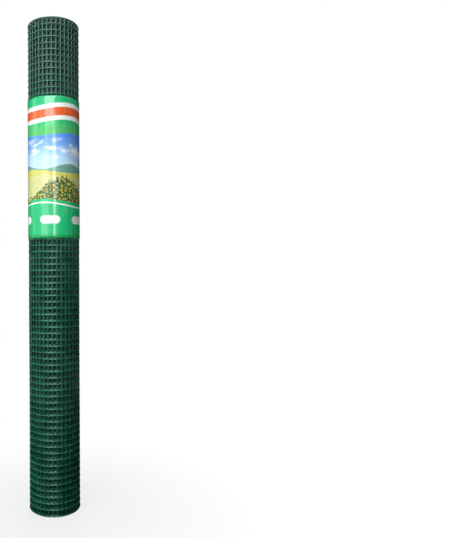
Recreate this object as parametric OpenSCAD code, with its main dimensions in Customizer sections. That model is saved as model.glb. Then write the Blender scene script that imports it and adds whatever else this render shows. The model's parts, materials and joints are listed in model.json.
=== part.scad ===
// Roll of PVC-coated welded wire mesh, standing on end, with a printed label wrapped round it.
// Millimetres, +Z up. The origin is on the axis of the bore, at the end that stands on the floor.
// The mesh is wound as a spiral: every half turn is a true arc, and the centres of successive
// half turns lie a quarter of a turn step to either side of the axis. Outlines are drawn with the
// mesh's free edge on +X, and the finished pieces are turned to the direction that it has.

/* [Roll] */
// Height of the roll, which is the width that the mesh is sold in
roll_height = 1000; // [600:10:2000]
// Diameter over the outermost turn
roll_diameter = 109; // [80:1:200]
// Diameter of the open bore
bore_diameter = 41; // [16:1:60]

/* [Winding] */
// Radial step from one turn of mesh to the next
turn_step = 3; // [1.6:0.1:5]
// Width of the gap between two turns, as it shows at the ends
turn_gap = 0.7; // [0.4:0.1:1.2]
// Depth of that gap below each end
turn_gap_depth = 6; // [2:0.5:20]
// Length at the free edge that lies on the turn below, with no gap
edge_contact = 3; // [1:0.5:10]
// Direction of the mesh's free edge, in degrees from +X
free_edge_angle = 120; // [0:1:359]

/* [Label] */
// Height of the label
label_height = 283; // [50:1:300]
// Distance from the upper end of the roll down to the label
label_drop = 157; // [20:1:250]
// Thickness of the label film
label_thickness = 0.3; // [0.2:0.05:1]
// Clearance between the label and the mesh
label_clearance = 0.3; // [0.1:0.05:1]
// Length of the lap where the label is glued to itself
label_lap = 20; // [5:1:60]
// Where the lap starts, in degrees round the last half turn
lap_start_angle = 110; // [5:1:120]

/* [Hidden] */
$fn = 128;
// How far a cutting shape runs past the face that it cuts
overcut = 1;

roll_radius = roll_diameter / 2;
bore_radius = bore_diameter / 2;
label_bottom = roll_height - label_drop - label_height;
// Half the distance between the centres of successive half turns
centre_shift = turn_step / 4;
// How far below its tangent the straight film at the free edge is aimed, so that it bears on the turn
film_press = label_thickness / 2;
// A gap is cut only where a full turn of mesh is left between it and the bore
gap_half_turns = floor((roll_radius - bore_radius - 2 * turn_step) / (turn_step / 2)) + 1;

// Outer radius of a half turn, counted inwards from the free edge
function half_turn_radius(k) = roll_radius - k * turn_step / 2;

// Moves a shape drawn round the origin to the centre of half turn k, and turns it to that side
module on_half_turn(k) {
    rotate(180 * (k + 1))
        translate([-centre_shift, 0])
            children();
}

// Half disc on the side and about the centre of half turn k
module half_disc(k, radius) {
    on_half_turn(k)
        intersection() {
            circle(r = radius);
            translate([-radius, 0]) square([2 * radius, radius]);
        }
}

// What the two outermost half turns enclose, grown outwards
module wound_outline(grow = 0) {
    for (k = [0, 1])
        half_disc(k, half_turn_radius(k) + grow);
}

// The gap beneath half turn k
module half_gap(k) {
    difference() {
        half_disc(k, half_turn_radius(k + 2) + turn_gap);
        half_disc(k, half_turn_radius(k + 2));
    }
}

// The spiral gap between the turns, which ends where the free edge lies on the turn below
module gap_outline() {
    difference() {
        half_gap(0);
        translate([0, -edge_contact]) square([roll_radius, edge_contact + overcut]);
    }
    for (k = [1 : gap_half_turns - 1])
        half_gap(k);
}

// The wound mesh as one solid, with its bore and the turns showing at both ends
module mesh_roll() {
    color([0.05, 0.2, 0.13])
        rotate(free_edge_angle)
            difference() {
                linear_extrude(roll_height) wound_outline();
                translate([0, 0, -overcut])
                    cylinder(r = bore_radius, h = roll_height + 2 * overcut);
                for (z = [-overcut, roll_height - turn_gap_depth])
                    translate([0, 0, z])
                        linear_extrude(turn_gap_depth + overcut) gap_outline();
            }
}

// What a film stretched round the roll encloses: it runs straight across the step at the free edge
module wrapped_outline(grow) {
    centre = [-centre_shift, 0];
    landing_radius = half_turn_radius(1) + grow;
    edge_radius = half_turn_radius(0) + grow + 2 * centre_shift;
    // Where a straight line from the free edge is tangent to the half turn below
    landing_angle = acos(landing_radius / edge_radius);
    wound_outline(grow);
    polygon([
        centre,
        centre + [edge_radius, 0],
        centre + (landing_radius - film_press) * [cos(landing_angle), sin(landing_angle)],
    ]);
}

// The second layer of film at the lap, sunk half its thickness into the first
module label_overlap() {
    first_layer = half_turn_radius(0) + label_clearance;
    on_half_turn(0)
        rotate_extrude(angle = label_lap / first_layer * 180 / PI, start = lap_start_angle)
            translate([first_layer + label_thickness / 2, 0])
                square([1.5 * label_thickness, label_height]);
}

// The printed film, wrapped tight round the roll and lapped over itself
module label_wrap() {
    color([0.2, 0.7, 0.4])
        rotate(free_edge_angle)
            translate([0, 0, label_bottom]) {
                linear_extrude(label_height)
                    difference() {
                        wrapped_outline(label_clearance + label_thickness);
                        wrapped_outline(label_clearance);
                    }
                label_overlap();
            }
}

mesh_roll();
label_wrap();
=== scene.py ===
"""Roll of green plastic-coated welded wire mesh, standing on end, with a printed film label round it.

Every wire of the wound sheet is modelled: the wound wires that run round the roll, the upright wires
inside them, and the weld beads where they cross on the outermost turn. The label is one film, wrapped
round the roll and lapped on itself. Lengths are in metres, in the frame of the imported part.
"""

import json
import logging
import math
from collections.abc import Iterable, Sequence
from dataclasses import dataclass
from enum import Enum

import bmesh
import bpy
import numpy as np
from mathutils import Matrix, Vector


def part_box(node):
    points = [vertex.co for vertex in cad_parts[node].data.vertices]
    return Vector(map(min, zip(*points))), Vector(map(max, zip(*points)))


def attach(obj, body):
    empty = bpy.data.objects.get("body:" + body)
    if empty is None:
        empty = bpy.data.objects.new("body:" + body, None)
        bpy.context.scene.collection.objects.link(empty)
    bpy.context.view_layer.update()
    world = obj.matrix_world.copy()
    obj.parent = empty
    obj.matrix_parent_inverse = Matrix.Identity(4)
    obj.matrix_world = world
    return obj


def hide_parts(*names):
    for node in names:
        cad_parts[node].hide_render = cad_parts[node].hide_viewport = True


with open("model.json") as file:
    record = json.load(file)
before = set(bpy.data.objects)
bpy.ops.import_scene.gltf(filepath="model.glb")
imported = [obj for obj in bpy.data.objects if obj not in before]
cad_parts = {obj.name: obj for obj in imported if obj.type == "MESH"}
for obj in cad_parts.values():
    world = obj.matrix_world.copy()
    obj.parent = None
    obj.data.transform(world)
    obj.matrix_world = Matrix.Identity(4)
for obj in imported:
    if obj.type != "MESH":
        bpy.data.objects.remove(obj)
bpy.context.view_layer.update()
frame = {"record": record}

log = logging.getLogger("wire_roll")

Socket = bpy.types.NodeSocket
Inputs = dict[str | int, object]
Ring = list[bmesh.types.BMEdge]
# An upright wire's half turn, and its direction from that half turn's centre
Place = tuple[int, float]
Colour = tuple[float, float, float]
WHITE: Colour = (1.0, 1.0, 1.0)

UP = Vector((0.0, 0.0, 1.0))
TURN = 2 * math.pi
UNIT = (0.0, 1.0)
# What most values of a noise texture lie between
NOISE_RANGE = (0.35, 0.65)


class Node(Enum):
    """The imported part's nodes."""

    MESH_ROLL = "mesh_roll"
    LABEL_WRAP = "label_wrap"


class Slot(Enum):
    """The record's material slots."""

    COATED_MESH = "coated_mesh"
    LABEL_FILM = "label_film"


class Tip(Enum):
    """How the end of a modelled wire is closed."""

    ROUND = "round"
    FLAT = "flat"


class Graph:
    """The node tree of a material or of the surroundings, with short calls for the nodes they share."""

    def __init__(self, owner: bpy.types.Material | bpy.types.World) -> None:
        """Starts with an empty node tree.

        Args:
            owner: What the nodes belong to.
        """
        owner.use_nodes = True
        self.owner = owner
        self.tree = owner.node_tree
        self.tree.nodes.clear()

    @classmethod
    def of_material(cls, name: str) -> "Graph":
        """Starts the nodes of a new material."""
        return cls(bpy.data.materials.new(name))

    def feed(self, socket: Socket, value: object) -> None:
        """Links another node's output to an input, or sets the input to a number or a colour.

        Args:
            socket: The input.
            value: An output socket, a number, a vector or a colour without its alpha.
        """
        if isinstance(value, bpy.types.NodeSocket):
            self.tree.links.new(value, socket)
        elif socket.type == "RGBA":
            socket.default_value = (*value, 1.0)
        else:
            socket.default_value = value

    def add(self, kind: str, inputs: Inputs | None = None, **settings: object) -> bpy.types.Node:
        """Adds a node and feeds its inputs.

        Args:
            kind: Blender's name for the type of node.
            inputs: What goes into each input that isn't left as it comes, by the input's name or number.
            settings: The node's own properties.

        Returns:
            The new node.
        """
        node = self.tree.nodes.new(kind)
        for name, value in settings.items():
            setattr(node, name, value)
        for name, value in (inputs or {}).items():
            self.feed(node.inputs[name], value)
        return node

    def math(self, operation: str, *values: float | Socket) -> Socket:
        """Adds a sum.

        Args:
            operation: Blender's name for the operation.
            values: The numbers or sockets that go into it, in order.

        Returns:
            The result's socket.
        """
        return self.add("ShaderNodeMath", dict(enumerate(values)), operation=operation).outputs[0]

    def remap(self, value: Socket, old: tuple[float, float], new: tuple[float, float]) -> Socket:
        """Maps one range of a value to another, clamped at its ends.

        Args:
            value: The value to map.
            old: The two ends of its range.
            new: What they become.

        Returns:
            The mapped value's socket.
        """
        ends = {"From Min": old[0], "From Max": old[1], "To Min": new[0], "To Max": new[1]}
        return self.add("ShaderNodeMapRange", {"Value": value, **ends}).outputs[0]

    def above(self, value: Socket, edge: float | Socket, soft: float) -> Socket:
        """Makes a mask that rises smoothly from 0 to 1 where a value passes an edge.

        Args:
            value: The value to compare.
            edge: Where the mask is one half.
            soft: Half the width of the soft edge.

        Returns:
            The mask's socket.
        """
        offset = self.math("SUBTRACT", value, edge)
        ends = {"Value": offset, "From Min": -soft, "From Max": soft}
        return self.add("ShaderNodeMapRange", ends, interpolation_type="SMOOTHSTEP").outputs[0]

    def between(self, value: Socket, low: float | Socket, high: float | Socket, soft: float) -> Socket:
        """Makes a mask that is 1 between two edges.

        Args:
            value: The value to compare.
            low: The lower edge.
            high: The upper edge.
            soft: Half the width of each soft edge.

        Returns:
            The mask's socket.
        """
        return self.math("SUBTRACT", self.above(value, low, soft), self.above(value, high, soft))

    def blend(self, share: float | Socket, under: Colour | Socket, over: Colour | Socket) -> Socket:
        """Lays one colour over another.

        Args:
            share: How much of the upper colour shows.
            under: The lower colour.
            over: The upper colour.

        Returns:
            The blended colour's socket.
        """
        return self.add("ShaderNodeMix", {0: share, 6: under, 7: over}, data_type="RGBA").outputs[2]

    def length(self, vector: Socket) -> Socket:
        """Measures a vector."""
        return self.add("ShaderNodeVectorMath", {0: vector}, operation="LENGTH").outputs["Value"]

    def stretched(self, place: Socket, scale: tuple[float, float, float]) -> Socket:
        """Scales coordinates along each axis, through a Mapping node."""
        return self.add("ShaderNodeMapping", {"Vector": place, "Scale": scale}).outputs[0]

    def noise(self, place: Socket, scale: float, detail: float) -> Socket:
        """Adds a noise texture, as a value of about 0.3 to 0.7."""
        inputs = {"Vector": place, "Scale": scale, "Detail": detail}
        return self.add("ShaderNodeTexNoise", inputs).outputs[0]

    def clouds(self, place: Socket, scale: float) -> Socket:
        """Adds a noise texture that is drawn out to values of 0 to 1."""
        return self.remap(self.noise(place, scale, detail=3.0), NOISE_RANGE, UNIT)

    def bump(self, height: Socket, strength: float, distance: float) -> Socket:
        """Turns a height into a bumped normal."""
        inputs = {"Height": height, "Strength": strength, "Distance": distance}
        return self.add("ShaderNodeBump", inputs).outputs[0]

    def surface(self, shader: Socket) -> bpy.types.Material:
        """Makes a shader the material's surface, and gives the finished material."""
        self.add("ShaderNodeOutputMaterial", {"Surface": shader})
        return self.owner

    def plastic(self, inputs: Inputs) -> bpy.types.Material:
        """Ends the material in one principled shader, and gives the finished material."""
        return self.surface(self.add("ShaderNodeBsdfPrincipled", inputs).outputs[0])


@dataclass(frozen=True)
class CoatingFinish:
    """Dark green plastic coating on the wires, semi-gloss and a little cloudy, with dust on it, painted
    shade on the inner turns and a painted sheen on the roll's upper end.

    Attributes:
        name: Name of the material.
        deep: Colour where the coating is thick.
        fresh: Colour where it is thin and clean.
        painted_shade_colour: Colour of the painted shade on the inner turns, which makes them look as if
            they lay in shade.
        painted_shade_reach: Distances from the axis at which the painted shade is darkest and at which it
            ends.
        painted_shade_share: How much of the painted shade shows where it is darkest.
        inner_dulling: How much roughness the inner turns gain where the painted shade is darkest, where
            nothing else shows.
        dust_and_sheen_colour: Colour of the dust, and of the painted sheen on the roll's upper end.
        dust_share: How much of the dust shows at most on what faces up.
        dust_slope: Upward part of the normal at which half of that dust shows.
        dust_soft: How far to either side of that slope the dust thins out.
        painted_sheen_end: Heights at which the painted sheen on the roll's upper end begins and is
            strongest: a pale grey laid on the coating for the reflected light there.
        painted_sheen_share: How much of the painted sheen shows on that end.
        cloud_scale: How many clouds of colour a metre holds.
        grain_scale: How many grains of the surface a metre holds.
        grain_depth: Depth of the grain.
        grain_strength: How strongly the grain shows.
        roughness: Least and greatest roughness.
        specular: Specular level.
    """

    name: str
    deep: Colour = (0.006, 0.106, 0.065)
    fresh: Colour = (0.0145, 0.184, 0.119)
    painted_shade_colour: Colour = (0.001, 0.060, 0.036)
    painted_shade_reach: tuple[float, float] = (0.0440, 0.0515)
    painted_shade_share: float = 0.2
    inner_dulling: float = 0.6
    dust_and_sheen_colour: Colour = (0.09, 0.10, 0.12)
    dust_share: float = 0.22
    dust_slope: float = 0.72
    dust_soft: float = 0.25
    painted_sheen_end: tuple[float, float] = (0.80, 0.92)
    painted_sheen_share: float = 0.32
    cloud_scale: float = 38.0
    grain_scale: float = 900.0
    grain_depth: float = 0.00005
    grain_strength: float = 0.6
    roughness: tuple[float, float] = (0.22, 0.36)
    specular: float = 0.3

    def material(self) -> bpy.types.Material:
        """Builds the material.

        Returns:
            The green coating.
        """
        graph = Graph.of_material(self.name)
        place = graph.add("ShaderNodeTexCoord").outputs["Object"]
        cloud = graph.clouds(place, self.cloud_scale)
        grain = graph.noise(place, self.grain_scale, detail=2.0)
        normal = graph.add("ShaderNodeNewGeometry").outputs["Normal"]
        facing_up = graph.add("ShaderNodeSeparateXYZ", {"Vector": normal}).outputs["Z"]
        settled = graph.math("MULTIPLY", graph.above(facing_up, self.dust_slope, self.dust_soft), cloud)
        colour = graph.blend(cloud, self.deep, self.fresh)
        parts = graph.add("ShaderNodeSeparateXYZ", {"Vector": place}).outputs
        level = graph.add("ShaderNodeCombineXYZ", {"X": parts["X"], "Y": parts["Y"]}).outputs[0]
        # Painted shade: the coating darkens towards the axis, so that the inner turns look as if they lay
        # in shade.
        painted_shade = graph.remap(graph.length(level), self.painted_shade_reach, (self.painted_shade_share, 0.0))
        colour = graph.blend(painted_shade, colour, self.painted_shade_colour)
        dulling = graph.remap(cloud, UNIT, self.roughness)
        dulling = graph.math("MULTIPLY_ADD", painted_shade, self.inner_dulling, dulling)
        # Painted sheen: a pale grey laid on the roll's upper end stands in for reflected light there; the
        # settled dust on what faces up is added to the same share.
        dust_and_sheen = graph.remap(parts["Z"], self.painted_sheen_end, (0.0, self.painted_sheen_share))
        dust_and_sheen = graph.math("MULTIPLY_ADD", settled, self.dust_share, dust_and_sheen)
        return graph.plastic({
            "Base Color": graph.blend(dust_and_sheen, colour, self.dust_and_sheen_colour),
            "Roughness": dulling,
            "Normal": graph.bump(grain, self.grain_strength, self.grain_depth),
            "Specular IOR Level": self.specular,
        })


@dataclass(frozen=True)
class WavyEdge:
    """A printed edge that swings about a level a whole number of times round the roll.

    Attributes:
        level: Mean height of the edge, in label heights.
        swing: How far it swings to either side, in label heights.
        waves: Number of waves round the roll.
        phase: Where the first wave starts, in radians.
    """

    level: float
    swing: float
    waves: int
    phase: float


@dataclass(frozen=True)
class PrintFinish:
    """Glossy printed face of the label, drawn on its UV map, whose unit is the label's height.

    From the bottom the print has a green band with a row of blank tablets under a thin line, a hedge and
    hills under a sky, and a second green band with a white ribbon, which has a plain stripe along it.

    Attributes:
        girth: Length of the film once round the roll, in label heights.
        emerald, meadow, shade: The greens of the bands.
        paper: White of the ribbon, the line and the tablets.
        stripe: Orange-red of the stripe.
        sky_high, sky_low, cloud: Colours of the sky.
        far_hill, field, straw, hedge, fleck: Colours of the land.
        far_crest, field_crest, near_crest, hedge_crest: Upper edges of the land, from back to front.
        low_band, high_band: Inner edges of the two green bands.
        ribbon_low, ribbon_high: Edges of the ribbon.
        stripe_inset: How far the stripe lies inside the ribbon.
        line_top, line_bottom: How far the thin line's edges lie below the lower band's edge.
        foot_height: Height of the darker strip along the label's lower edge.
        tablets_round: Number of tablets round the roll.
        tablet_height: Height of their middle.
        tablet_reach: Half the length of a tablet between its round ends.
        tablet_radius: Radius of its ends.
        edge: Half the width of a printed edge.
        wear: How much of the print is rubbed off where it is worn.
        roughness: Least and greatest roughness.
    """

    girth: float
    emerald: Colour = (0.018, 0.50, 0.19)
    meadow: Colour = (0.09, 0.52, 0.142)
    shade: Colour = (0.007, 0.36, 0.09)
    paper: Colour = (0.88, 0.92, 0.88)
    stripe: Colour = (0.78, 0.13, 0.035)
    sky_high: Colour = (0.10, 0.29, 0.84)
    sky_low: Colour = (0.50, 0.78, 0.93)
    cloud: Colour = (0.86, 0.90, 0.94)
    far_hill: Colour = (0.16, 0.36, 0.30)
    field: Colour = (0.60, 0.60, 0.13)
    straw: Colour = (0.62, 0.64, 0.42)
    hedge: Colour = (0.030, 0.14, 0.055)
    fleck: Colour = (0.74, 0.50, 0.05)
    far_crest: WavyEdge = WavyEdge(level=0.505, swing=0.020, waves=3, phase=0.4)
    field_crest: WavyEdge = WavyEdge(level=0.475, swing=0.014, waves=2, phase=2.2)
    near_crest: WavyEdge = WavyEdge(level=0.435, swing=0.016, waves=3, phase=3.9)
    hedge_crest: WavyEdge = WavyEdge(level=0.34, swing=0.075, waves=2, phase=5.6)
    low_band: WavyEdge = WavyEdge(level=0.262, swing=0.014, waves=2, phase=1.0)
    high_band: WavyEdge = WavyEdge(level=0.735, swing=0.014, waves=2, phase=4.2)
    ribbon_low: WavyEdge = WavyEdge(level=0.825, swing=0.012, waves=2, phase=4.8)
    ribbon_high: WavyEdge = WavyEdge(level=0.945, swing=0.012, waves=2, phase=4.8)
    stripe_inset: float = 0.030
    line_top: float = 0.020
    line_bottom: float = 0.030
    foot_height: float = 0.022
    tablets_round: int = 5
    tablet_height: float = 0.13
    tablet_reach: float = 0.045
    tablet_radius: float = 0.028
    edge: float = 0.004
    wear: float = 0.07
    roughness: tuple[float, float] = (0.14, 0.26)

    def wave(self, graph: Graph, around: Socket, edge: WavyEdge) -> Socket:
        """Works out the height of a wavy edge.

        Args:
            graph: The material's nodes.
            around: Distance round the label.
            edge: The edge.

        Returns:
            The height of the edge at that distance.
        """
        angle = graph.math("MULTIPLY_ADD", around, TURN * edge.waves / self.girth, edge.phase)
        return graph.math("MULTIPLY_ADD", graph.math("SINE", angle), edge.swing, edge.level)

    def picture(self, graph: Graph, around: Socket, height: Socket, face: Socket) -> Socket:
        """Draws the sky, the clouds, the hills and the hedge.

        Args:
            graph: The material's nodes.
            around: Distance round the label.
            height: Height on the label.
            face: The two together, as coordinates.

        Returns:
            The picture's colour.
        """
        sky = graph.blend(graph.above(height, edge=0.62, soft=0.11), self.sky_low, self.sky_high)
        puffs = graph.noise(graph.stretched(face, (1.0, 2.2, 1.0)), scale=7.0, detail=4.0)
        puffs = graph.above(puffs, edge=0.56, soft=0.07)
        puffs = graph.math("MULTIPLY", puffs, graph.between(height, low=0.54, high=0.69, soft=0.03))
        colour = graph.blend(puffs, sky, self.cloud)
        tufts = graph.clouds(face, scale=60.0)
        crests = (
            (self.far_crest, self.far_hill, self.far_hill),
            (self.field_crest, self.field, self.field),
            (self.near_crest, self.straw, self.field),
        )
        for edge, sunny, patchy in crests:
            ground = graph.blend(tufts, sunny, patchy)
            crest = self.wave(graph, around, edge)
            colour = graph.blend(graph.above(crest, height, self.edge), colour, ground)
        leaves = graph.above(graph.noise(face, scale=64.0, detail=3.0), edge=0.56, soft=0.06)
        bushes = graph.blend(leaves, self.hedge, self.fleck)
        raggedness = 0.03
        ragged = graph.math("MULTIPLY_ADD", tufts, raggedness, self.wave(graph, around, self.hedge_crest))
        return graph.blend(graph.above(ragged, height, 2 * self.edge), colour, bushes)

    def tablets(self, graph: Graph, around: Socket, height: Socket) -> Socket:
        """Makes the mask of a row of blank tablets with round ends.

        Args:
            graph: The material's nodes.
            around: Distance round the label.
            height: Height on the label.

        Returns:
            The mask's socket.
        """
        spacing = self.girth / self.tablets_round
        across = graph.math("ABSOLUTE", graph.math("WRAP", around, spacing / 2, -spacing / 2))
        beyond = graph.math("MAXIMUM", graph.math("SUBTRACT", across, self.tablet_reach), 0.0)
        rise = graph.math("SUBTRACT", height, self.tablet_height)
        reach = graph.length(graph.add("ShaderNodeCombineXYZ", {"X": beyond, "Y": rise}).outputs[0])
        return graph.above(self.tablet_radius, reach, self.edge)

    def artwork(self, graph: Graph, face: Socket) -> Socket:
        """Draws the whole print.

        Args:
            graph: The material's nodes.
            face: The label's UV coordinates.

        Returns:
            The print's colour.
        """
        parts = graph.add("ShaderNodeSeparateXYZ", {"Vector": face})
        around, height = parts.outputs["X"], parts.outputs["Y"]
        colour = self.picture(graph, around, height, face)
        band = self.wave(graph, around, self.low_band)
        colour = graph.blend(graph.above(band, height, self.edge), colour, self.emerald)
        low = graph.math("SUBTRACT", band, self.line_bottom)
        high = graph.math("SUBTRACT", band, self.line_top)
        colour = graph.blend(graph.between(height, low, high, self.edge / 2), colour, self.paper)
        colour = graph.blend(graph.above(self.foot_height, height, self.edge), colour, self.shade)
        colour = graph.blend(self.tablets(graph, around, height), colour, self.paper)
        band = self.wave(graph, around, self.high_band)
        tint = graph.blend(graph.above(height, edge=0.80, soft=0.06), self.meadow, self.emerald)
        colour = graph.blend(graph.above(height, band, self.edge), colour, tint)
        low = self.wave(graph, around, self.ribbon_low)
        high = self.wave(graph, around, self.ribbon_high)
        colour = graph.blend(graph.between(height, low, high, self.edge), colour, self.paper)
        low = graph.math("ADD", low, self.stripe_inset)
        high = graph.math("SUBTRACT", high, self.stripe_inset)
        return graph.blend(graph.between(height, low, high, self.edge), colour, self.stripe)

    def material(self) -> bpy.types.Material:
        """Builds the material.

        Returns:
            The printed face of the film.
        """
        graph = Graph.of_material("label_print")
        face = graph.add("ShaderNodeUVMap", uv_map="label").outputs[0]
        rubbed = graph.noise(graph.stretched(face, (9.0, 1.2, 1.0)), scale=6.0, detail=4.0)
        worn = graph.math("MULTIPLY", graph.above(rubbed, edge=0.60, soft=0.08), self.wear)
        grain = graph.noise(face, scale=260.0, detail=2.0)
        return graph.plastic({
            "Base Color": graph.blend(worn, self.artwork(graph, face), self.paper),
            "Roughness": graph.remap(rubbed, NOISE_RANGE, self.roughness),
            "Normal": graph.bump(grain, strength=0.25, distance=0.00004),
            "Specular IOR Level": 0.25,
            "Coat Weight": 0.25,
            "Coat Roughness": 0.05,
        })


@dataclass(frozen=True)
class FilmBackFinish:
    """Milky plain back and cut edges of the label's film.

    Attributes:
        milky: Colour where the film is thick.
        thin: Colour where it lets more light through.
        roughness: Least and greatest roughness.
    """

    milky: Colour = (0.74, 0.80, 0.76)
    thin: Colour = (0.52, 0.66, 0.57)
    roughness: tuple[float, float] = (0.32, 0.44)

    def material(self) -> bpy.types.Material:
        """Builds the material.

        Returns:
            The back of the film.
        """
        graph = Graph.of_material("label_back")
        place = graph.add("ShaderNodeTexCoord").outputs["Object"]
        cloud = graph.clouds(place, scale=120.0)
        return graph.plastic({
            "Base Color": graph.blend(cloud, self.milky, self.thin),
            "Roughness": graph.remap(cloud, UNIT, self.roughness),
        })


@dataclass(frozen=True)
class FloorFinish:
    """Pale floor that keeps the roll's shadow near it and runs out to plain white.

    Attributes:
        pale: Colour of the floor.
        shown: How much of the lit floor the camera sees at the roll, the rest being plain white.
        under: Distance from the axis up to which the floor lies under the roll and shows as it is.
        under_soft: Half the width of the edge there.
        near: Distance from the axis up to which the share above shows.
        far: Distance from which the camera sees plain white.
        roughness: Roughness of the floor.
    """

    pale: Colour = (0.50, 0.51, 0.51)
    shown: float = 0.20
    under: float = 0.0515
    under_soft: float = 0.0005
    near: float = 0.06
    far: float = 0.4
    roughness: float = 0.8

    def material(self) -> bpy.types.Material:
        """Builds the material.

        Returns:
            The floor.
        """
        graph = Graph.of_material("pale_floor")
        away = graph.length(graph.add("ShaderNodeTexCoord").outputs["Object"])
        path = graph.add("ShaderNodeLightPath").outputs
        mirrored = graph.math("MAXIMUM", path["Is Glossy Ray"], path["Is Transmission Ray"])
        white = graph.remap(away, (self.near, self.far), (1.0 - self.shown, 1.0))
        white = graph.math("MULTIPLY", white, graph.above(away, self.under, self.under_soft))
        white = graph.math("MAXIMUM", mirrored, graph.math("MULTIPLY", white, path["Is Camera Ray"]))
        lit = graph.add("ShaderNodeBsdfPrincipled", {"Base Color": self.pale, "Roughness": self.roughness})
        plain = graph.add("ShaderNodeEmission", {"Color": WHITE, "Strength": 1.0})
        mixed = graph.add("ShaderNodeMixShader", {0: white, 1: lit.outputs[0], 2: plain.outputs[0]})
        return graph.surface(mixed.outputs[0])


def piece_from(bm: bmesh.types.BMesh, name: str) -> bpy.types.Object:
    """Turns a finished bmesh into a smooth-shaded object at the origin.

    Args:
        bm: The bmesh, which is freed.
        name: Name of the piece.

    Returns:
        The new object.
    """
    mesh = bpy.data.meshes.new(name)
    bm.to_mesh(mesh)
    bm.free()
    mesh.shade_smooth()
    piece = bpy.data.objects.new(name, mesh)
    bpy.context.scene.collection.objects.link(piece)
    return piece


def points_of(piece: bpy.types.Object) -> np.ndarray:
    """Reads a piece's vertices.

    Args:
        piece: The piece.

    Returns:
        One row of X, Y and Z for each vertex.
    """
    points = np.empty(3 * len(piece.data.vertices))
    piece.data.vertices.foreach_get("co", points)
    return points.reshape(-1, 3)


def move_points(piece: bpy.types.Object, points: np.ndarray) -> None:
    """Puts a piece's vertices in new places."""
    piece.data.vertices.foreach_set("co", points.ravel())
    piece.data.update()


def vertices_in(geometry: Iterable[object]) -> list[bmesh.types.BMVert]:
    """Picks the vertices out of a bmesh operator's result."""
    return [item for item in geometry if isinstance(item, bmesh.types.BMVert)]


def edges_in(geometry: Iterable[object]) -> list[bmesh.types.BMEdge]:
    """Picks the edges out of a bmesh operator's result."""
    return [item for item in geometry if isinstance(item, bmesh.types.BMEdge)]


def ring_in(geometry: Iterable[object]) -> tuple[list[bmesh.types.BMVert], Ring]:
    """Picks the new ring out of the result of drawing a ring out.

    Args:
        geometry: The operator's result, which holds the new ring and what joins it to the old one.

    Returns:
        The new ring's vertices and edges.
    """
    verts = vertices_in(geometry)
    return verts, [edge for edge in edges_in(geometry) if all(vert in verts for vert in edge.verts)]


def all_of(bm: bmesh.types.BMesh) -> list[object]:
    """Lists everything in a bmesh."""
    return [*bm.verts, *bm.edges, *bm.faces]


def add_disc(bm: bmesh.types.BMesh, radius: float, sides: int, drop: float) -> None:
    """Adds a level disc round the roll's axis, a small drop below its lower end."""
    below = Matrix.Translation(UP * -drop)
    bmesh.ops.create_circle(bm, cap_ends=True, segments=sides, radius=radius, matrix=below)


@dataclass(frozen=True)
class Ripple:
    """One wave of an unevenness that runs round the roll and up it.

    Attributes:
        swing: Its greatest value.
        around: Number of waves round the roll.
        upward: How far the wave runs on in a metre of height, in radians.
        phase: Where it starts, in radians.
    """

    swing: float
    around: int
    upward: float
    phase: float = 0.0

    def at(self, angle: np.ndarray, height: np.ndarray) -> np.ndarray:
        """Gives the ripple's value in some directions and at some heights."""
        return self.swing * np.sin(self.around * angle + self.upward * height + self.phase)


def unevenness(ripples: Iterable[Ripple], angle: np.ndarray, height: np.ndarray) -> np.ndarray:
    """Adds up the values of some ripples."""
    return sum(ripple.at(angle, height) for ripple in ripples)


@dataclass(frozen=True)
class Winding:
    """The spiral that the mesh is wound in: true half turns, counted inwards from the free edge.

    Attributes:
        height: Height of the roll.
        bore_radius: Radius of the open bore.
        outer_radius: Radius over the outermost half turn.
        turn_step: Radial step from one turn to the next.
        free_edge: Direction of the mesh's free edge, in radians from +X.
    """

    height: float
    bore_radius: float
    outer_radius: float = 0.0545
    turn_step: float = 0.0030
    free_edge: float = math.radians(120)

    def radius(self, half_turn: int) -> float:
        """Gives the outer radius of a half turn."""
        return self.outer_radius - half_turn * self.turn_step / 2

    def shift(self, half_turn: int) -> float:
        """Gives how far towards the free edge a half turn's centre lies from the axis."""
        return self.turn_step / 4 if half_turn % 2 == 0 else -self.turn_step / 4

    def centre(self, half_turn: int) -> Vector:
        """Gives the centre of a half turn, on the floor."""
        return self.shift(half_turn) * self.outward(self.free_edge)

    def start(self, half_turn: int) -> float:
        """Gives the direction in which a half turn starts. It runs clockwise from there."""
        return self.free_edge - math.pi * half_turn

    def half_turns(self, thickness: float) -> int:
        """Gives the number of half turns of a sheet that fit outside the bore.

        Args:
            thickness: Thickness of the sheet.

        Returns:
            The number of half turns.
        """
        depth = self.outer_radius - thickness - self.turn_step / 4 - self.bore_radius
        return math.floor(depth / (self.turn_step / 2)) + 1

    @staticmethod
    def outward(angle: float) -> Vector:
        """Gives the level direction at an angle from +X."""
        return Vector((math.cos(angle), math.sin(angle), 0.0))


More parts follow.
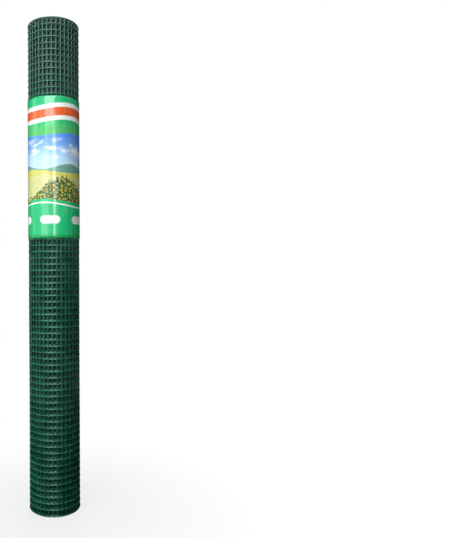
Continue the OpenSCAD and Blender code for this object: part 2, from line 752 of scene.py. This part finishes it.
@dataclass(frozen=True)
class Settling:
    """How the wound mesh strays from a true spiral. Wires that cross move together, so welds hold.

    Attributes:
        winding: The true spiral.
        inward: Greatest dent towards the axis.
        dents: How the dents vary to either side of half that.
        upward: Greatest rise or fall of a wound wire.
        rises: How the rises and falls vary.
        sideways: Greatest lean of an upright wire round the roll, on the outermost turn.
        leans: How the leans vary.
        inner_slip: How much further wires would lean at the axis, as a share.
        climb: How much higher a turn lies than the one outside it.
        climbing_turns: Number of turns over which they climb.
        uneven: How much lower than the roll's upper end the lowest of the inner turns end.
        uneven_step: How far that depth swings on from one turn to the next, in radians.
        level_turns: Number of outer turns that end at the roll's upper end.
        calm_end: Height at each end over which the straying dies away.
        rounding: What is allowed for rounding where turns are counted.
    """

    winding: Winding
    inward: float = 0.0004
    dents: tuple[Ripple, ...] = (Ripple(0.25, 2, 9), Ripple(0.25, 5, -17, 1.3))
    upward: float = 0.0007
    rises: tuple[Ripple, ...] = (Ripple(0.6, 1, 5, 0.4), Ripple(0.4, 3, -31))
    sideways: float = 0.0004
    leans: tuple[Ripple, ...] = (Ripple(0.6, 2, 7), Ripple(0.4, 4, 23, 2.1))
    inner_slip: float = 0.5
    climb: float = 0.0010
    climbing_turns: int = 4
    uneven: float = 0.0009
    uneven_step: float = 2.3
    level_turns: int = 1
    calm_end: float = 0.03
    rounding: float = 0.00001

    def turns_in(self, across: np.ndarray, along: np.ndarray) -> np.ndarray:
        """Gives how many turns inwards from the free edge places on the sheet lie.

        Args:
            across: Their X.
            along: Their Y.

        Returns:
            The numbers of turns, with their fractions.
        """
        winding = self.winding
        part = (winding.free_edge - np.arctan2(along, across)) % TURN / TURN
        turns = np.empty_like(part)
        for half_turn, side in ((0, part < 0.5), (1, part >= 0.5)):
            centre = winding.centre(half_turn)
            depth = winding.radius(half_turn) - np.hypot(across - centre.x, along - centre.y)
            whole = np.floor((depth + self.rounding) / winding.turn_step)
            turns = np.where(side, part + whole, turns)
        return np.maximum(turns, 0)

    def apply(self, piece: bpy.types.Object) -> None:
        """Moves a piece's vertices.

        Args:
            piece: Wires or weld beads in their true places.
        """
        points = points_of(piece)
        across, along, height = points.T
        angle = np.arctan2(along, across)
        dent = self.inward * (0.5 + unevenness(self.dents, angle, height))
        slip = 1 + self.inner_slip * (1 - np.hypot(across, along) / self.winding.outer_radius)
        lean = self.sideways * slip * unevenness(self.leans, angle, height)
        turns = self.turns_in(across, along)
        rise = self.upward * unevenness(self.rises, angle, height)
        rise += self.climb * np.minimum(turns, self.climbing_turns)
        inner_turns = np.maximum(turns - self.level_turns, 0)
        sink = self.uneven * (0.5 - 0.5 * np.cos(self.uneven_step * inner_turns))
        sink = np.where(height < self.winding.height / 2, 0, sink)
        calm = np.clip(np.minimum(height, self.winding.height - height) / self.calm_end, 0, 1)
        radial = np.stack((np.cos(angle), np.sin(angle), np.zeros_like(angle)), axis=1)
        tangent = np.stack((-np.sin(angle), np.cos(angle), np.zeros_like(angle)), axis=1)
        points -= radial * dent[:, None]
        points += tangent * (lean * calm)[:, None]
        points[:, 2] += rise * calm - sink * (1 - calm)
        move_points(piece, points)


class Strand:
    """One wire that is drawn out in a bmesh, from its first end to its last.

    Attributes:
        ROUND_TIP: How far each ring of a round tip lies from the last, in radii of the wire, and its width
            as a share of that ring's.
    """

    ROUND_TIP = ((0.45, 0.80), (0.25, 0.50))

    def __init__(self, bm: bmesh.types.BMesh, radius: float, sides: int, place: Matrix) -> None:
        """Starts the wire with a ring.

        Args:
            bm: The bmesh to draw in.
            radius: Radius of the wire.
            sides: Number of sides of the ring.
            place: The ring's place, with the way that the wire runs as its Z axis.
        """
        self.bm = bm
        self.radius = radius
        self.verts = bmesh.ops.create_circle(bm, segments=sides, radius=radius, matrix=place)["verts"]
        self.edges = list(dict.fromkeys(edge for vert in self.verts for edge in vert.link_edges))
        self.first = list(self.edges)

    def bend(self, centre: Vector, angle: float, steps: int) -> None:
        """Draws the wire on round an upright axis.

        Args:
            centre: A point on the axis.
            angle: How far the wire bends.
            steps: Number of rings to draw.
        """
        spun = bmesh.ops.spin(
            self.bm, geom=[*self.verts, *self.edges], cent=centre, axis=UP, angle=angle, steps=steps
        )
        self.verts = vertices_in(spun["geom_last"])
        self.edges = edges_in(spun["geom_last"])

    def draw(self, along: Vector, steps: int) -> None:
        """Draws the wire on in a straight line.

        Args:
            along: The length and direction to draw.
            steps: Number of rings to draw.
        """
        for _ in range(steps):
            drawn = bmesh.ops.extrude_edge_only(self.bm, edges=self.edges)["geom"]
            self.verts, self.edges = ring_in(drawn)
            bmesh.ops.translate(self.bm, verts=self.verts, vec=along / steps)

    def close(self, edges: Ring, outward: Vector, tip: Tip) -> None:
        """Closes one end of the wire.

        Args:
            edges: The ring at that end.
            outward: The direction in which the wire would run on.
            tip: How the end is closed.
        """
        if tip is Tip.ROUND:
            for reach, width in self.ROUND_TIP:
                edges = self.taper(edges, outward * (reach * self.radius), width)
        bmesh.ops.contextual_create(self.bm, geom=edges)

    def taper(self, edges: Ring, along: Vector, width: float) -> Ring:
        """Draws one narrower ring.

        Args:
            edges: The ring to draw from.
            along: How far the new ring lies from it.
            width: The new ring's width as a share of the old one's.

        Returns:
            The new ring.
        """
        verts, ring = ring_in(bmesh.ops.extrude_edge_only(self.bm, edges=edges)["geom"])
        middle = sum((vert.co for vert in verts), Vector()) / len(verts)
        bmesh.ops.scale(self.bm, vec=(width,) * 3, verts=verts, space=Matrix.Translation(-middle))
        bmesh.ops.translate(self.bm, verts=verts, vec=along)
        return ring


@dataclass
class CoatedMesh:
    """The welded sheet: wound wires on its outside, upright wires on its inside, welded where they cross.

    Attributes:
        winding: The spiral that the sheet is wound in.
        wire_radius: Radius of a wire over its coating.
        weld_offset: Distance between the centres of two wires that cross.
        wound_count: Number of wound wires.
        wire_overhang: How far the wires run on past the last crossing.
        upright_pitch: Distance from one upright wire to the next, along the sheet.
        bead_size: Half sizes of a weld bead, through the sheet, along it and up it.
        outer_half_turns: Number of half turns that are modelled finely, because they show.
        inner_pieces: Number of pieces that the inner wound wires are split into.
    """

    winding: Winding
    wire_radius: float = 0.00115
    weld_offset: float = 0.00068
    wound_count: int = 80
    wire_overhang: float = 0.0015
    upright_pitch: float = 0.00906
    bead_size: tuple[float, float, float] = (0.0009, 0.00125, 0.00115)
    outer_half_turns: int = 2
    inner_pieces: int = 3

    def __post_init__(self) -> None:
        """Works out what the sizes lead to."""
        self.thickness = 2 * self.wire_radius + self.weld_offset
        self.wound_depth = self.wire_radius
        self.upright_depth = self.wire_radius + self.weld_offset
        self.half_turns = self.winding.half_turns(self.thickness)
        self.wound_pitch = (self.winding.height - 2 * self.wire_overhang) / (self.wound_count - 1)
        self.settling = Settling(self.winding)

    def build(self, bright: CoatingFinish, painted_shade_coating: CoatingFinish) -> list[bpy.types.Object]:
        """Builds and dresses every piece of the sheet.

        Args:
            bright: The coating of the wound wires and the weld beads.
            painted_shade_coating: The coating of the upright wires, on the inside of the sheet: the same
                coating painted darker, as painted shade, with less of the painted sheen on the upper end.

        Returns:
            The pieces.
        """
        outer = range(self.outer_half_turns)
        inner = range(self.outer_half_turns, self.half_turns)
        places = self.upright_places()
        outer_places = [place for place in places if place[0] in outer]
        inner_places = [place for place in places if place[0] in inner]
        wound = [self.wound_wires("wound_wires_outer", outer, sides=8, step=0.003)]
        for index, half_turns in enumerate(np.array_split(inner, self.inner_pieces)):
            name = f"wound_wires_inner_{index + 1}"
            wound.append(self.wound_wires(name, half_turns.tolist(), sides=6, step=0.0062))
        upright = [
            self.upright_wires("upright_wires_outer", outer_places, sides=8, rings=64),
            self.upright_wires("upright_wires_inner", inner_places, sides=6, rings=24),
        ]
        beads = self.weld_beads("weld_beads", outer_places)
        self.dress([*wound, beads], bright)
        # The upright wires take the coating that is painted darker, as painted shade.
        self.dress(upright, painted_shade_coating)
        return [*wound, *upright, beads]

    def stack(self, bm: bmesh.types.BMesh) -> None:
        """Repeats what is in a bmesh at the height of every wound wire.

        Args:
            bm: The bmesh, which holds one wound wire's height of pieces.
        """
        pattern = all_of(bm)
        for index in range(1, self.wound_count):
            copy = bmesh.ops.duplicate(bm, geom=pattern)["geom"]
            bmesh.ops.translate(bm, verts=vertices_in(copy), vec=UP * (index * self.wound_pitch))

    def wound_wires(
        self, name: str, half_turns: Sequence[int], sides: int, step: float
    ) -> bpy.types.Object:
        """Models the wound wires over a stretch of half turns.

        Args:
            name: Name of the piece.
            half_turns: The half turns, from the outside inwards.
            sides: Number of sides of a wire.
            step: Distance between two rings of a wire.

        Returns:
            The piece.
        """
        bm = bmesh.new()
        first, last = half_turns[0], half_turns[-1]
        radial = self.winding.outward(self.winding.start(first))
        reach = self.winding.radius(first) - self.wound_depth
        foot = self.winding.centre(first) + radial * reach + UP * self.wire_overhang
        place = Matrix((radial, UP, radial.cross(UP))).transposed().to_4x4()
        strand = Strand(bm, self.wire_radius, sides, Matrix.Translation(foot) @ place)
        for half_turn in half_turns:
            length = math.pi * (self.winding.radius(half_turn) - self.wound_depth)
            strand.bend(self.winding.centre(half_turn), -math.pi, round(length / step))
        finish = self.winding.outward(self.winding.start(last + 1)).cross(UP)
        strand.close(strand.edges, finish, Tip.ROUND if last == self.half_turns - 1 else Tip.FLAT)
        strand.close(strand.first, -radial.cross(UP), Tip.ROUND if first == 0 else Tip.FLAT)
        bmesh.ops.recalc_face_normals(bm, faces=bm.faces)
        self.stack(bm)
        return piece_from(bm, name)

    def upright_places(self) -> list[Place]:
        """Places the upright wires along the sheet.

        Returns:
            The place of each, from the free edge inwards.
        """
        places = []
        along = self.wire_overhang
        for half_turn in range(self.half_turns):
            reach = self.winding.radius(half_turn) - self.upright_depth
            while along < math.pi * reach:
                places.append((half_turn, self.winding.start(half_turn) - along / reach))
                along += self.upright_pitch
            along -= math.pi * reach
        return places

    def crossing(self, place: Place, depth: float) -> Vector:
        """Finds the point on the floor under an upright wire's place.

        Args:
            place: The place.
            depth: How far inside the half turn the point lies.

        Returns:
            The point.
        """
        half_turn, angle = place
        reach = self.winding.radius(half_turn) - depth
        return self.winding.centre(half_turn) + reach * self.winding.outward(angle)

    def upright_wires(self, name: str, places: Sequence[Place], sides: int, rings: int) -> bpy.types.Object:
        """Models the upright wires at some places.

        Args:
            name: Name of the piece.
            places: Where they stand.
            sides: Number of sides of a wire.
            rings: Number of rings up a wire.

        Returns:
            The piece.
        """
        bm = bmesh.new()
        tip = self.wire_radius * sum(reach for reach, _ in Strand.ROUND_TIP)
        strand = Strand(bm, self.wire_radius, sides, Matrix.Translation(UP * tip))
        strand.draw(UP * (self.winding.height - 2 * tip), rings)
        strand.close(strand.edges, UP, Tip.ROUND)
        strand.close(strand.first, -UP, Tip.ROUND)
        bmesh.ops.recalc_face_normals(bm, faces=bm.faces)
        pattern = all_of(bm)
        first, *others = (self.crossing(place, self.upright_depth) for place in places)
        for foot in others:
            copy = bmesh.ops.duplicate(bm, geom=pattern)["geom"]
            bmesh.ops.translate(bm, verts=vertices_in(copy), vec=foot)
        bmesh.ops.translate(bm, verts=vertices_in(pattern), vec=first)
        return piece_from(bm, name)

    def weld_beads(self, name: str, places: Sequence[Place]) -> bpy.types.Object:
        """Models the swollen coating where the wires cross.

        Args:
            name: Name of the piece.
            places: Where the upright wires stand.

        Returns:
            The piece.
        """
        bm = bmesh.new()
        size = Matrix.Diagonal((*self.bead_size, 1.0))
        foot = Matrix.Translation(UP * self.wire_overhang)
        bmesh.ops.create_icosphere(bm, subdivisions=1, radius=1.0, matrix=foot @ size)
        self.stack(bm)
        column = all_of(bm)
        depth = (self.wound_depth + self.upright_depth) / 2
        for place in places:
            copy = vertices_in(bmesh.ops.duplicate(bm, geom=column)["geom"])
            bmesh.ops.rotate(bm, verts=copy, cent=(0, 0, 0), matrix=Matrix.Rotation(place[1], 3, "Z"))
            bmesh.ops.translate(bm, verts=copy, vec=self.crossing(place, depth))
        bmesh.ops.delete(bm, geom=vertices_in(column), context="VERTS")
        return piece_from(bm, name)

    def dress(self, pieces: Sequence[bpy.types.Object], finish: CoatingFinish) -> None:
        """Settles the pieces, coats them and puts them in the place of the solid roll.

        Args:
            pieces: The sheet's pieces.
            finish: The coating of the wires.
        """
        coating = finish.material()
        for piece in pieces:
            self.settling.apply(piece)
            piece.data.materials.append(coating)
            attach(piece, "root")
            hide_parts(Node.MESH_ROLL.value)


@dataclass
class FilmLabel:
    """The printed film, wrapped round the roll and lapped on itself.

    Attributes:
        winding: The spiral that the film is wrapped round.
        bottom: Height of the film's lower edge.
        height: Height of the film.
        thickness: Thickness of the film.
        snug: Least distance of the film's outer face from the roll.
        slack: How much further out it lies where it is loosest.
        lap_start: Direction in which the film starts, in radians from +X.
        lap_length: Length of film that lies over its own start.
        lap_rise: How much further out it lies there, in thicknesses of the film.
        drift: How the buckles wander to either side up the film.
        buckles: How the film buckles round the roll, with the drift in the place of the height.
        ripples: The finer ripples that lie over the buckles.
        columns: Number of faces round the film.
        rows: Number of faces up the film.
    """

    winding: Winding
    bottom: float
    height: float
    thickness: float = 0.00015
    snug: float = 0.00022
    slack: float = 0.00036
    lap_start: float = math.radians(50)
    lap_length: float = 0.020
    lap_rise: float = 1.3
    drift: Ripple = Ripple(1.0, 0, 11, 0.8)
    buckles: tuple[Ripple, ...] = (Ripple(0.50, 7, 1.5), Ripple(0.38, 11, -2.2, 1.0))
    ripples: tuple[Ripple, ...] = (Ripple(0.12, 21, 14, 2.0),)
    columns: int = 280
    rows: int = 72

    def __post_init__(self) -> None:
        """Works out the film's length."""
        self.mean_radius = self.winding.outer_radius - self.winding.turn_step / 4 + self.snug
        self.girth = TURN * self.mean_radius
        self.length = self.girth + self.lap_length

    def outline(self, angle: np.ndarray) -> np.ndarray:
        """Gives the radius of a tight film round the roll, straight across the step at the free edge.

        Args:
            angle: Directions from +X.

        Returns:
            The radius in each direction.
        """
        winding = self.winding
        local = (angle - winding.free_edge + math.pi) % TURN - math.pi
        radius = np.empty_like(local)
        for half_turn, side in ((0, local <= 0), (1, local > 0)):
            shift = winding.shift(half_turn)
            reach = winding.radius(half_turn) + self.snug
            chord = np.sqrt(reach ** 2 - (shift * np.sin(local)) ** 2)
            radius = np.where(side, shift * np.cos(local) + chord, radius)
        landing_reach = winding.radius(1) + self.snug
        edge_reach = winding.radius(0) + self.snug + winding.turn_step / 2
        landing = math.acos(landing_reach / edge_reach)
        straight = (landing_reach + winding.shift(1) * math.cos(landing)) / np.cos(local - landing)
        return np.where((local > 0) & (local < landing), straight, radius)

    def looseness(self, angle: np.ndarray, height: np.ndarray) -> np.ndarray:
        """Gives how loose the film is, from 0 where it is tight to 1.

        Args:
            angle: Directions from +X.
            height: Heights above the film's lower edge.

        Returns:
            The looseness at each place.
        """
        buckle = unevenness(self.buckles, angle, self.drift.at(angle, height))
        ripple = unevenness(self.ripples, angle, height)
        return np.clip(0.5 + 0.5 * (buckle + ripple), 0.0, 1.0)

    def build(self, printed: PrintFinish, back: FilmBackFinish) -> bpy.types.Object:
        """Models the film as a flat sheet and wraps it round the roll.

        Args:
            printed: The finish of its face.
            back: The finish of its back and edges.

        Returns:
            The piece.
        """
        bm = bmesh.new()
        layer = bm.loops.layers.uv.new("label")
        middle = Matrix.Translation((self.length / 2, self.height / 2, 0.0))
        flat = middle @ Matrix.Diagonal((self.length, self.height, 1.0, 1.0))
        bmesh.ops.create_grid(bm, x_segments=self.columns, y_segments=self.rows, size=0.5, matrix=flat)
        for face in bm.faces:
            for loop in face.loops:
                loop[layer].uv = loop.vert.co.xy / self.height
        piece = piece_from(bm, "label_film")
        self.wrap(piece)
        self.dress(piece, printed, back)
        return piece

    def wrap(self, piece: bpy.types.Object) -> None:
        """Wraps the flat film round the roll, with its end over its start.

        Args:
            piece: The flat film.
        """
        points = points_of(piece)
        along, height, _ = points.T
        angle = self.lap_start + along / self.mean_radius
        lapped = np.clip((along - self.girth + self.lap_length / 2) / (self.lap_length / 2), 0.0, 1.0)
        lapped = lapped * lapped * (3 - 2 * lapped)
        radius = self.outline(angle) + self.slack * self.looseness(angle, height)
        radius += lapped * self.lap_rise * self.thickness
        wrapped = (radius * np.cos(angle), radius * np.sin(angle), self.bottom + height)
        move_points(piece, np.stack(wrapped, axis=1))

    def dress(self, piece: bpy.types.Object, printed: PrintFinish, back: FilmBackFinish) -> None:
        """Gives the film its thickness and finishes, and puts it in the place of the plain wrap.

        Args:
            piece: The wrapped film.
            printed: The finish of its face.
            back: The finish of its back and edges.
        """
        piece.data.materials.append(printed.material())
        piece.data.materials.append(back.material())
        wall = piece.modifiers.new("film", "SOLIDIFY")
        wall.thickness = self.thickness
        wall.offset = -1.0
        wall.material_offset = 1
        wall.material_offset_rim = 1
        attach(piece, "root")
        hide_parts(Node.LABEL_WRAP.value)


@dataclass(frozen=True)
class Softbox:
    """A rectangular lamp that faces the roll.

    Attributes:
        name: Name of the lamp.
        azimuth: Direction that it stands in, in degrees to the right of the viewer.
        distance: Distance from the roll's axis.
        height: Height of its middle.
        width: Width of its face.
        tall: Height of its face.
        power: Power in watts.
        aim: Height on the axis that it faces.
        lights: Whether it lights the roll.
        shows: Whether it shows as a reflection.
    """

    name: str
    azimuth: float
    distance: float
    height: float
    width: float
    tall: float
    power: float
    aim: float = 0.5
    lights: bool = True
    shows: bool = True

    def build(self) -> bpy.types.Object:
        """Builds the lamp.

        Returns:
            The lamp's object.
        """
        lamp = bpy.data.lights.new(self.name, "AREA")
        lamp.shape = "RECTANGLE"
        lamp.size = self.width
        lamp.size_y = self.tall
        lamp.energy = self.power
        box = bpy.data.objects.new(self.name, lamp)
        bearing = math.radians(self.azimuth)
        towards = Vector((math.sin(bearing), -math.cos(bearing), 0.0))
        box.location = towards * self.distance + UP * self.height
        box.rotation_euler = (box.location - UP * self.aim).to_track_quat("Z", "Y").to_euler()
        box.visible_camera = False
        box.visible_diffuse = self.lights
        box.visible_glossy = self.shows
        bpy.context.scene.collection.objects.link(box)
        return box


@dataclass(frozen=True)
class DarkCard:
    """A dark card round the right and the back and under the roll, which only shows as a reflection.

    Attributes:
        first_edge: Direction of its first edge, in degrees to the right of the viewer.
        sweep: How far round the roll it runs from there, in degrees.
        steps: Number of faces that it has round the roll.
        distance: Distance from the roll's axis.
        bottom: Height of its lower edge.
        height: Height of the card.
        lying_radius: Radius of the part that lies under the roll.
        lying_sides: Number of sides of that part.
        lying_drop: How far below the roll it lies.
        dark: Colour of the card.
        roughness: Roughness of the card.
    """

    first_edge: float = 25.0
    sweep: float = 230.0
    steps: int = 40
    distance: float = 1.5
    bottom: float = -0.3
    height: float = 2.8
    lying_radius: float = 0.9
    lying_sides: int = 64
    lying_drop: float = 0.0001
    dark: Colour = (0.01, 0.01, 0.01)
    roughness: float = 0.9

    def build(self) -> None:
        """Sets the card up."""
        bm = bmesh.new()
        turned = Matrix.Rotation(math.radians(self.first_edge), 4, "Z")
        foot = turned @ Vector((0.0, -self.distance, self.bottom))
        edge = bmesh.ops.create_vert(bm, co=foot)["vert"]
        rise = bmesh.ops.extrude_vert_indiv(bm, verts=edge)
        bmesh.ops.translate(bm, verts=rise["verts"], vec=UP * self.height)
        sweep = math.radians(self.sweep)
        bmesh.ops.spin(bm, geom=all_of(bm), cent=(0, 0, 0), axis=UP, angle=sweep, steps=self.steps)
        add_disc(bm, self.lying_radius, self.lying_sides, self.lying_drop)
        card = piece_from(bm, "dark_card")
        finish = Graph.of_material("dark_card")
        card.data.materials.append(finish.plastic({"Base Color": self.dark, "Roughness": self.roughness}))
        card.visible_camera = False
        card.visible_diffuse = False
        card.visible_shadow = False


@dataclass
class Studio:
    """The pale floor, the white surroundings, the lamps, the dark card and the camera.

    Attributes:
        camera_place: Where the camera stands, looking along +Y.
        camera_pitch: How far it looks up, in degrees.
        camera_roll: How far it leans to its left, in degrees.
        camera_shift: How far its frame is shifted to the right, as a share of the frame's height.
        lens: Its focal length in millimetres, for the frame height below.
        frame_height: Height of its sensor in millimetres.
        ambient: Least and greatest strength of the light that comes from all round.
        bright_side: Direction that the greatest comes from.
        floor_radius: Radius of the floor.
        floor_sides: Number of sides of the floor.
        floor_drop: How far below the roll the floor lies.
    """

    camera_place: tuple[float, float, float] = (0.070, -1.073, 0.507)
    camera_pitch: float = -0.525
    camera_roll: float = -0.20
    camera_shift: float = 0.257
    lens: float = 34.26
    frame_height: float = 36.0
    ambient: tuple[float, float] = (0.0, 0.17)
    bright_side: tuple[float, float, float] = (-0.75, -0.6, 0.4)
    floor_radius: float = 40.0
    floor_sides: int = 96
    floor_drop: float = 0.0002

    def build(self) -> None:
        """Builds the whole studio."""
        bpy.context.scene.view_settings.view_transform = "Standard"
        self.build_floor()
        self.build_surroundings()
        self.build_camera()
        for lamp in self.lamps():
            lamp.build()
        DarkCard().build()

    def lamps(self) -> tuple[Softbox, ...]:
        """Lists the lamps.

        Returns:
            The lamps that only light the roll, those that only show as reflections, and those that do both.
        """
        return (
            Softbox("key_lamp", azimuth=-46, distance=1.6, height=0.5,
                    width=0.9, tall=0.7, power=13, shows=False),
            Softbox("high_lamp", azimuth=-36, distance=1.4, height=1.9,
                    width=0.8, tall=0.8, power=11.5, shows=False),
            Softbox("crown_lamp", azimuth=0, distance=0.5, height=0.72,
                    width=0.35, tall=0.25, power=1.2, aim=0.72, shows=False),
            Softbox("card_lamp", azimuth=-15, distance=2.2, height=1.85,
                    width=1.8, tall=0.9, power=62, lights=False),
            Softbox("sky_lamp", azimuth=-12, distance=1.3, height=2.6,
                    width=1.4, tall=0.8, power=66, lights=False),
            Softbox("wash_lamp", azimuth=-34, distance=2.2, height=0.96,
                    width=1.2, tall=0.58, power=8.5, lights=False),
            Softbox("strip_lamp", azimuth=9, distance=2.2, height=0.98,
                    width=0.45, tall=0.65, power=10.5, lights=False),
            Softbox("top_lamp", azimuth=45, distance=0.6, height=1.6,
                    width=0.4, tall=0.25, power=1.5, aim=0.95),
            Softbox("side_lamp", azimuth=-85, distance=1.6, height=1.3,
                    width=0.4, tall=0.7, power=2, aim=0.8),
            Softbox("back_lamp", azimuth=178, distance=2.4, height=1.4,
                    width=0.9, tall=1.2, power=34),
        )

    def build_floor(self) -> None:
        """Lays the floor under the roll."""
        bm = bmesh.new()
        add_disc(bm, self.floor_radius, self.floor_sides, self.floor_drop)
        floor = piece_from(bm, "floor")
        floor.data.materials.append(FloorFinish().material())

    def build_surroundings(self) -> None:
        """Makes the surroundings white where they are seen and dim where they light the roll."""
        world = bpy.data.worlds.new("surroundings")
        bpy.context.scene.world = world
        graph = Graph(world)
        path = graph.add("ShaderNodeLightPath").outputs
        mirrored = graph.math("MAXIMUM", path["Is Glossy Ray"], path["Is Transmission Ray"])
        seen = graph.math("MAXIMUM", path["Is Camera Ray"], mirrored)
        direction = graph.add("ShaderNodeTexCoord").outputs["Generated"]
        sides = {0: direction, 1: Vector(self.bright_side).normalized()}
        facing = graph.add("ShaderNodeVectorMath", sides, operation="DOT_PRODUCT").outputs["Value"]
        light = graph.remap(facing, (-1.0, 1.0), self.ambient)
        dim = graph.add("ShaderNodeBackground", {"Color": WHITE, "Strength": light})
        plain = graph.add("ShaderNodeBackground", {"Color": WHITE, "Strength": 1.0})
        mixed = graph.add("ShaderNodeMixShader", {0: seen, 1: dim.outputs[0], 2: plain.outputs[0]})
        graph.add("ShaderNodeOutputWorld", {"Surface": mixed.outputs[0]})

    def build_camera(self) -> None:
        """Sets up the camera at the viewing angle of the photograph."""
        view = bpy.data.cameras.new("camera")
        view.sensor_fit = "VERTICAL"
        view.sensor_height = self.frame_height
        view.lens = self.lens
        view.shift_x = self.camera_shift
        camera = bpy.data.objects.new("camera", view)
        tilt = Matrix.Rotation(math.radians(90 + self.camera_pitch), 4, "X")
        lean = Matrix.Rotation(math.radians(self.camera_roll), 4, "Z")
        camera.matrix_world = Matrix.Translation(self.camera_place) @ tilt @ lean
        bpy.context.scene.collection.objects.link(camera)
        bpy.context.scene.camera = camera


def report(piece: bpy.types.Object) -> None:
    """Logs a piece's name and its number of faces."""
    log.info("%s: %d faces", piece.name, len(piece.data.polygons))


def main() -> None:
    """Builds the roll, its label and the studio round them."""
    logging.basicConfig(level=logging.INFO, format="%(message)s")
    bore = next(mount for mount in frame["record"]["mounts"] if mount["kind"] == "bore")
    roll_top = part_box(Node.MESH_ROLL.value)[1].z
    label_low, label_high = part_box(Node.LABEL_WRAP.value)
    winding = Winding(height=roll_top, bore_radius=bore["dims"]["r_mm"] / 1000)
    bright = CoatingFinish("wound_coating")
    # The upright wires get the same coating painted darker, as painted shade, with less of the painted
    # sheen on the upper end.
    painted_shade_coating = CoatingFinish(
        "upright_coating_painted_shade", deep=(0.002, 0.064, 0.038), fresh=(0.006, 0.108, 0.068), painted_sheen_share=0.20
    )
    for piece in CoatedMesh(winding).build(bright, painted_shade_coating):
        report(piece)
    label = FilmLabel(winding, bottom=label_low.z, height=label_high.z - label_low.z)
    report(label.build(PrintFinish(girth=label.girth / label.height), FilmBackFinish()))
    Studio().build()


if __name__ == "__main__":
    main()
